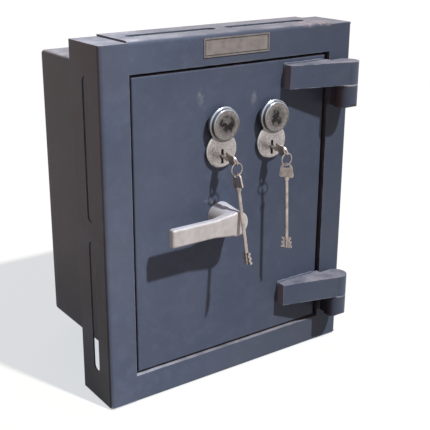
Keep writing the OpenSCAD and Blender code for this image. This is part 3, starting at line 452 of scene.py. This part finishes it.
# %% Enamels of frame, door, arms and box
PAINT_DARK, PAINT_LIGHT = (0.074, 0.095, 0.148), (0.097, 0.121, 0.181)
FRAME_DARK, FRAME_LIGHT = (0.083, 0.106, 0.164), (0.108, 0.134, 0.200)
BOX_DARK, BOX_LIGHT = (0.074, 0.076, 0.098), (0.100, 0.100, 0.122)
FRAME_HAZE, DOOR_HAZE, BOX_HAZE = (0.105, 0.103, 0.112), (0.110, 0.108, 0.116), (0.135, 0.115, 0.100)
SMUDGE_AND_GLINT_GREY, BARE_PRIMER, ARM_SIDE_BROWN = (0.30, 0.31, 0.34), (0.44, 0.35, 0.38), (0.240, 0.195, 0.230)

HAND_MARKS_AND_HUB_GLINT = [((-0.0455, -0.0295, 0.3345), (0.006, 0.02, 0.013), 0.50, SMUDGE_AND_GLINT_GREY),
              ((-0.0410, -0.0295, 0.3250), (0.005, 0.02, 0.008), 0.40, SMUDGE_AND_GLINT_GREY),
              ((0.0257, -0.0295, 0.3235), (0.006, 0.02, 0.012), 0.45, SMUDGE_AND_GLINT_GREY),
              # the last two marks, beside the lever's hub, are a painted patch of light thrown from the hub
              # onto the door
              ((-0.0365, -0.0295, 0.2200), (0.008, 0.02, 0.005), 0.55, SMUDGE_AND_GLINT_GREY),
              ((-0.0290, -0.0295, 0.2150), (0.006, 0.02, 0.004), 0.45, SMUDGE_AND_GLINT_GREY)]
CHIPPED_END = [((0.116, -0.022, 0.400), (0.040, 0.030, 0.006), 0.80, BARE_PRIMER)]

frame_enamel = enamel("frame_enamel", FRAME_DARK, FRAME_LIGHT, FRAME_HAZE, haze_amount=0.30, fade=0.66,
                      side_shading=0.95, spots=CHIPPED_END)
door_enamel = enamel("door_enamel", PAINT_DARK, PAINT_LIGHT, DOOR_HAZE, haze_amount=0.18, fade=0.54,
                     side_shading=0.5, spots=HAND_MARKS_AND_HUB_GLINT)
# painted light: the arms' side faces take a lighter red-brown tone than their paint
arm_enamel = enamel("arm_enamel", PAINT_DARK, PAINT_LIGHT, DOOR_HAZE, haze_amount=0.25, fade=0.34,
                    side_shading=0.8, wear_and_highlight=0.85, sides=(ARM_SIDE_BROWN, ARM_SIDE_BROWN))
box_enamel = enamel("box_enamel", BOX_DARK, BOX_LIGHT, BOX_HAZE, haze_amount=0.45, fade=0.0, side_shading=0.55)
print("enamels:", [m.name for m in (frame_enamel, door_enamel, arm_enamel, box_enamel)])

# %% [markdown]
# The keyhole plates and their swing covers are turned brass with plated faces. Years of handling have left
# them clouded in the middle; the rim is painted bright above the centre and darker below as a painted
# highlight, with a painted shade line at the cover's step and painted dark reflections in its shallow dish,
# darker towards its centre. The turning marks are rings about each piece's own centre, so the finish is
# made once per piece with that centre, and the radii of its zones are given with it.

# %% Plated faces
HIGHLIGHT_START_BELOW, HIGHLIGHT_FULL_ABOVE = 0.004, 0.013
STEP_OUTSIDE, STEP_INSIDE, STEP_SOFT = 0.0018, 0.0012, 0.0003
STEP_SHADE_TONE, REFLECTION_FLECK_TONE = (0.04, 0.04, 0.05), (0.022, 0.019, 0.021)
GRAIN_PART, CLOUD_PART = 0.6, 0.4
MIDDLE_DARKEST, MIDDLE_PALEST, MIDDLE_REFLECTED = 0.7, 1.6, 0.35
REFLECTION_SHARE, PLATED_ROUGH = 0.5, 0.16


def plated(name, centre, face, rim_highlight_tone, middle_tone, reflection_reach, reflection_flecks, step_shade):
    material, tree, shader = finish_of(name)
    height = own_axes(tree)["Z"]
    # painted highlight: the rim is bright above the centre and darker below it
    upper = stretch(tree, height, centre[2] - HIGHLIGHT_START_BELOW, centre[2] + HIGHLIGHT_FULL_ABOVE)
    colour = blend_colour(tree, upper, middle_tone, rim_highlight_tone)
    cloud = place_group(tree, clouds, Scale=260.0, From=0.36, To=0.66)
    grain = place_group(tree, clouds, Scale=800.0, From=0.40, To=0.60)
    clouded = calc(tree, "MULTIPLY_ADD", grain, GRAIN_PART, calc(tree, "MULTIPLY", cloud, CLOUD_PART))
    worn = blend_colour(tree, clouded, shade(middle_tone, MIDDLE_DARKEST), shade(middle_tone, MIDDLE_PALEST))
    inside = place_group(tree, round_zone, Centre=centre, Radius=face, Softness=0.0006)
    colour = blend_colour(tree, inside, colour, worn)
    # painted shade: a dark line at the cover's step
    step, raised = (place_group(tree, round_zone, Centre=centre, Radius=face + out, Softness=STEP_SOFT)
                    for out in (STEP_OUTSIDE, STEP_INSIDE))
    line = calc(tree, "SUBTRACT", step, raised, clamp=True)
    colour = layer(tree, colour, line, step_shade, STEP_SHADE_TONE)
    # painted reflections: the dish darkens towards its centre and takes dark flecks
    core = place_group(tree, round_zone, Centre=centre, Radius=reflection_reach, Softness=0.4 * reflection_reach)
    painted_reflection = calc(tree, "MULTIPLY", core, reflection_flecks)
    colour = layer(tree, colour, painted_reflection, REFLECTION_SHARE, shade(middle_tone, MIDDLE_REFLECTED))
    stain = place_group(tree, clouds, Scale=130.0, From=0.455, To=0.53)
    colour = layer(tree, colour, stain, painted_reflection, REFLECTION_FLECK_TONE)
    rings = place_group(tree, turned_rings, Centre=centre, Lines=1700.0)
    rough = roughen(tree, PLATED_ROUGH, (inside, 0.16), (rings, 0.06))
    hand_over(tree, shader, colour, rough, rings, strength=0.10, distance=0.0003, metallic=1.0)
    return material


def middle_of(node):
    low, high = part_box(node)
    return tuple((low + high) / 2)


plated_faces = {}
for side in ("left", "right"):
    cover, plate = side + "_cover", side + "_escutcheon"
    plated_faces[cover] = plated("plated_" + cover, middle_of(cover), face=0.0160,
                                 rim_highlight_tone=(0.48, 0.51, 0.57), middle_tone=(0.195, 0.181, 0.175),
                                 reflection_reach=0.0132, reflection_flecks=0.95, step_shade=0.75)
    plated_faces[plate] = plated("plated_" + plate, middle_of(plate), face=0.0186,
                                 rim_highlight_tone=(0.60, 0.58, 0.57), middle_tone=(0.380, 0.354, 0.347),
                                 reflection_reach=0.0185, reflection_flecks=0.12, step_shade=0.0)
print("plated:", sorted(plated_faces))

# %% [markdown]
# The other metals share one recipe: a base tone, a darker tone in its clouds, and fine brush lines that
# change both roughness and height. Keys are nickel-plated and warm with use, the lever is cast alloy with a
# sandy skin and pale dust with a painted bluish sheen on what faces up, bushes and levers of the locks are
# brass, and what is hidden in the door is bright machined steel. Four materials by hand would do the same,
# but one recipe keeps them alike.

# %% Brushed and cast metals
LINES_ACROSS, LINES_UPRIGHT = (60.0, 900.0, 900.0), (900.0, 900.0, 60.0)
CAST_DUST_SHEEN, CAST_DUST_SHEEN_SHARE = (0.64, 0.70, 0.86), 0.7
EDGE_SHARE, EDGE_LIFT = 0.5, 1.25
LINE_HEIGHT = 0.4


def metal(name, bright, dull, rough, lines, cast=0.0, metallic=1.0):
    material, tree, shader = finish_of(name)
    cloud = place_group(tree, clouds, Scale=120.0, From=0.36, To=0.70)
    brushed = place_group(tree, brush_lines, Stretch=lines)
    edge = place_group(tree, rubbed_and_lit_edges, Width=0.0008, Break=160.0)
    colour = blend_colour(tree, cloud, bright, dull)
    # edges paler: rubbing and a painted highlight
    colour = layer(tree, colour, edge, EDGE_SHARE, shade(bright, EDGE_LIFT))
    sand = noise_at(tree, own_place(tree), scale=900.0, detail=3.0)
    if cast:
        colour = layer(tree, colour, stretch(tree, sand, 0.60, 0.74), cast, dull)
        # pale dust with a painted bluish sheen on what faces up
        dust_and_sheen_mask = place_group(tree, dust_and_sheen, Scale=60.0)
        colour = layer(tree, colour, dust_and_sheen_mask, CAST_DUST_SHEEN_SHARE, CAST_DUST_SHEEN)
    rough = roughen(tree, rough, (brushed, 0.10), (cloud, 0.08))
    scratched = calc(tree, "MULTIPLY", brushed, LINE_HEIGHT)
    skin = calc(tree, "ADD", scratched, calc(tree, "MULTIPLY", sand, cast))
    hand_over(tree, shader, colour, rough, skin, strength=0.12, distance=0.0004, metallic=metallic)
    return material


key_nickel = metal("key_nickel", bright=(0.50, 0.445, 0.415), dull=(0.30, 0.26, 0.24), rough=0.30,
                   lines=LINES_UPRIGHT, metallic=0.7)
cast_alloy = metal("cast_alloy", bright=(0.53, 0.51, 0.515), dull=(0.44, 0.425, 0.43), rough=0.56,
                   lines=LINES_ACROSS, cast=0.8, metallic=0.2)
turned_brass = metal("turned_brass", bright=(0.70, 0.52, 0.25), dull=(0.50, 0.36, 0.17), rough=0.28,
                     lines=LINES_UPRIGHT)
bright_steel = metal("bright_steel", bright=(0.58, 0.58, 0.59), dull=(0.42, 0.42, 0.43), rough=0.30,
                     lines=LINES_ACROSS)
print("metals:", [m.name for m in (key_nickel, cast_alloy, turned_brass, bright_steel)])

# %% [markdown]
# The small plate on the top of the frame is left bare: a thin lacquered sheet with a raised rim and one
# dark line drawn just inside it. The line is not a strip of mesh, because it has no height, so the material
# finds it from the distance to the plate's edge.

# %% Bare plate
PLATE_BRIGHT, PLATE_DULL, PLATE_BRUSHED = (0.25, 0.225, 0.215), (0.17, 0.152, 0.148), (0.34, 0.31, 0.30)
PLATE_ROUGH = 0.34
LINE_TONE, LINE_SHARE = (0.035, 0.035, 0.038), 0.9
LINE_FROM, LINE_TO, LINE_SOFT = 0.0014, 0.0027, 0.0003


def bare_plate():
    low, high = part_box("name_plate")
    middle, half = (low + high) / 2, (high - low) / 2
    material, tree, shader = finish_of("bare_plate")
    here = own_axes(tree)
    inside = []
    for axis, centre, size in (("X", middle.x, half.x), ("Z", middle.z, half.z)):
        away = calc(tree, "ABSOLUTE", calc(tree, "SUBTRACT", here[axis], centre))
        inside.append(calc(tree, "SUBTRACT", size, away))
    depth = calc(tree, "MINIMUM", *inside)
    line = calc(tree, "MULTIPLY", stretch(tree, depth, LINE_FROM, LINE_FROM + LINE_SOFT),
                stretch(tree, depth, LINE_TO, LINE_TO - LINE_SOFT))
    brushed = place_group(tree, brush_lines, Stretch=(30.0, 700.0, 1100.0))
    cloud = place_group(tree, clouds, Scale=90.0, From=0.35, To=0.70)
    colour = blend_colour(tree, cloud, PLATE_BRIGHT, PLATE_DULL)
    colour = layer(tree, colour, brushed, 0.25, PLATE_BRUSHED)
    colour = layer(tree, colour, line, LINE_SHARE, LINE_TONE)
    rough = roughen(tree, PLATE_ROUGH, (brushed, 0.14))
    hand_over(tree, shader, colour, rough, brushed, strength=0.06, distance=0.0002, metallic=0.6)
    return material


plate_finish = bare_plate()
print("finish:", plate_finish.name)

# %% [markdown]
# The wall of filling behind the door plate is plain cast mortar. It is seen only when the door's box is
# opened, so two clouds of tone, one wide and one fine, and a grainy height are enough for it.

# %% Filling
MORTAR_PALE, MORTAR_DARK, MORTAR_GRAIN = (0.40, 0.38, 0.34), (0.28, 0.265, 0.24), (0.50, 0.48, 0.44)
MORTAR_ROUGH = 0.82


def cast_mortar():
    material, tree, shader = finish_of("cast_mortar")
    patch = place_group(tree, clouds, Scale=18.0, From=0.30, To=0.75)
    colour = blend_colour(tree, patch, MORTAR_PALE, MORTAR_DARK)
    grain = place_group(tree, clouds, Scale=260.0, From=0.30, To=0.70)
    colour = layer(tree, colour, grain, 0.4, MORTAR_GRAIN)
    rough = roughen(tree, MORTAR_ROUGH, (grain, 0.10))
    hand_over(tree, shader, colour, rough, grain, strength=0.35, distance=0.0008)
    return material


mortar_finish = cast_mortar()
print("finish:", mortar_finish.name)

# %% [markdown]
# Every solid now gets its finish. The record names a finish slot for each node, so most solids take theirs
# by that slot; only the plated faces have one of their own, and the enamel differs between frame, door,
# hinge arms and box. The solids themselves aren't touched: only the material in their slot is exchanged.

# %% Dress the solids
BY_SLOT = {"steel": bright_steel, "key_steel": key_nickel, "alloy": cast_alloy, "brass": turned_brass,
           "plate_metal": plate_finish, "filling": mortar_finish}
BOX_PIECES = ("body_wrap", "back_plate", "door_frame")
ARM_PIECES = ("upper_hinge_arm", "lower_hinge_arm")


def finish_for(node, slot):
    if node in plated_faces:
        return plated_faces[node]
    if slot != "paint":
        return BY_SLOT[slot]
    if node in BOX_PIECES:
        return box_enamel
    if node in ARM_PIECES:
        return arm_enamel
    return door_enamel if node in frame["record"]["behaviour"]["bodies"]["door"] else frame_enamel


for row in frame["record"]["subparts"]:
    mesh = frame["nodes"][row["node"]].data
    mesh.materials.clear()
    mesh.materials.append(finish_for(row["node"], row["material_slot"]))

# %% [markdown]
# The hinge arms are welded to the door, and the knuckles to the frame. A weld is a bead of small
# overlapping scales, so it is built as a tube along the seam whose rings swell and lean in step. A curve
# with a round bevel would give a smooth wire; the mesh gives the scales, and half of it sinks into the
# corner as a real bead does.

# %% Shape of a weld bead
SEAM_STEP, SCALE_PITCH = 0.0007, 0.0023
CORNER_ROUNDS = 3
RING_POINTS = 12
OUTWARD = Vector((0.0, -1.0, 0.0))
THINNEST, SCALE_SWELL, SCALE_LEAN = 0.86, 0.20, 0.35
FINE_DRIFT, FINE_RATE, WIDE_DRIFT, WIDE_RATE = 0.12, 0.31, 0.08, 0.113
END_WIDTH, END_GROWTH = 0.35, 0.12


def seam_points(corners):
    points = []
    for start, end in zip(corners, corners[1:]):
        start, end = Vector(start), Vector(end)
        steps = max(2, int((end - start).length / SEAM_STEP))
        points += [start.lerp(end, i / steps) for i in range(steps)]
    points.append(Vector(corners[-1]))
    for _ in range(CORNER_ROUNDS):
        inner = [(a + 2 * b + c) / 4 for a, b, c in zip(points, points[1:], points[2:])]
        points = [points[0], *inner, points[-1]]
    return points


def bead_ring(bead, points, i, radius, seed):
    last = len(points) - 1
    ahead = (points[min(i + 1, last)] - points[max(i - 1, 0)]).normalized()
    side = ahead.cross(OUTWARD).normalized()
    wave = 0.5 + 0.5 * math.sin(i * SEAM_STEP / SCALE_PITCH * 2 * math.pi + seed)
    wander = FINE_DRIFT * math.sin(i * FINE_RATE + seed * 3) + WIDE_DRIFT * math.sin(i * WIDE_RATE + seed)
    swell = radius * (THINNEST + SCALE_SWELL * wave + wander)
    taper = min(1.0, END_WIDTH + END_GROWTH * min(i, last - i))
    ring = []
    for k in range(RING_POINTS):
        angle = 2 * math.pi * k / RING_POINTS
        lean = ahead * (radius * SCALE_LEAN * math.cos(angle) * wave)
        around = side * math.sin(angle) + OUTWARD * math.cos(angle)
        ring.append(bead.verts.new(points[i] + lean + around * swell * taper))
    return ring


def bead_mesh(name, points, radius, seed):
    bead = bmesh.new()
    rings = [bead_ring(bead, points, i, radius, seed) for i in range(len(points))]
    for first, second in zip(rings, rings[1:]):
        for k in range(RING_POINTS):
            after = (k + 1) % RING_POINTS
            bead.faces.new((first[k], first[after], second[after], second[k]))
    bead.faces.new(list(reversed(rings[0])))
    bead.faces.new(rings[-1])
    bmesh.ops.recalc_face_normals(bead, faces=bead.faces)
    for face in bead.faces:
        face.smooth = True
    mesh = bpy.data.meshes.new(name)
    bead.to_mesh(mesh)
    bead.free()
    return mesh


print("bead of", RING_POINTS, "points a ring, scales of", SCALE_PITCH * 1000, "mm")

# %% [markdown]
# The seams follow the solids: an arm's bead runs round its end on the door's face, and a knuckle's bead
# round its lower end on the frame's face. Their corners are read from the boxes of those solids, so the
# beads keep to them if a size is changed, and each bead rides on the body that it is welded to.

# %% Weld seams
ARM_BEAD, KNUCKLE_BEAD = 0.0017, 0.0016
ARM_STOP, KNUCKLE_INSET, KNUCKLE_STOP = 0.003, 0.0035, 0.003


def weld_bead(name, corners, radius, body, seed):
    mesh = bead_mesh(name, seam_points(corners), radius, seed)
    mesh.materials.append(door_enamel if body == "door" else frame_enamel)
    piece = bpy.data.objects.new(name, mesh)
    scene.collection.objects.link(piece)
    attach(piece, body)
    return piece


def arm_weld(side, seed):
    low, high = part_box(side + "_hinge_arm")
    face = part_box("door_plate")[0].y
    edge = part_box("door_plate")[1].x - ARM_STOP
    corners = [(edge, face, low.z), (low.x, face, low.z), (low.x, face, high.z), (edge, face, high.z)]
    return weld_bead(side + "_arm_weld", corners, ARM_BEAD, "door", seed)


def knuckle_weld(side, seed):
    low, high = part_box(side + "_hinge_knuckle")
    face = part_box("front_frame")[0].y
    left, top = low.x + KNUCKLE_INSET, high.z - KNUCKLE_STOP
    corners = [(left, face, top), (left, face, low.z), (high.x, face, low.z), (high.x, face, top)]
    return weld_bead(side + "_knuckle_weld", corners, KNUCKLE_BEAD, "frame", seed)


welds = [arm_weld("upper", 0.4), arm_weld("lower", 1.7),
         knuckle_weld("upper", 2.9), knuckle_weld("lower", 4.1)]
print("welds:", [(w.name, len(w.data.vertices)) for w in welds])
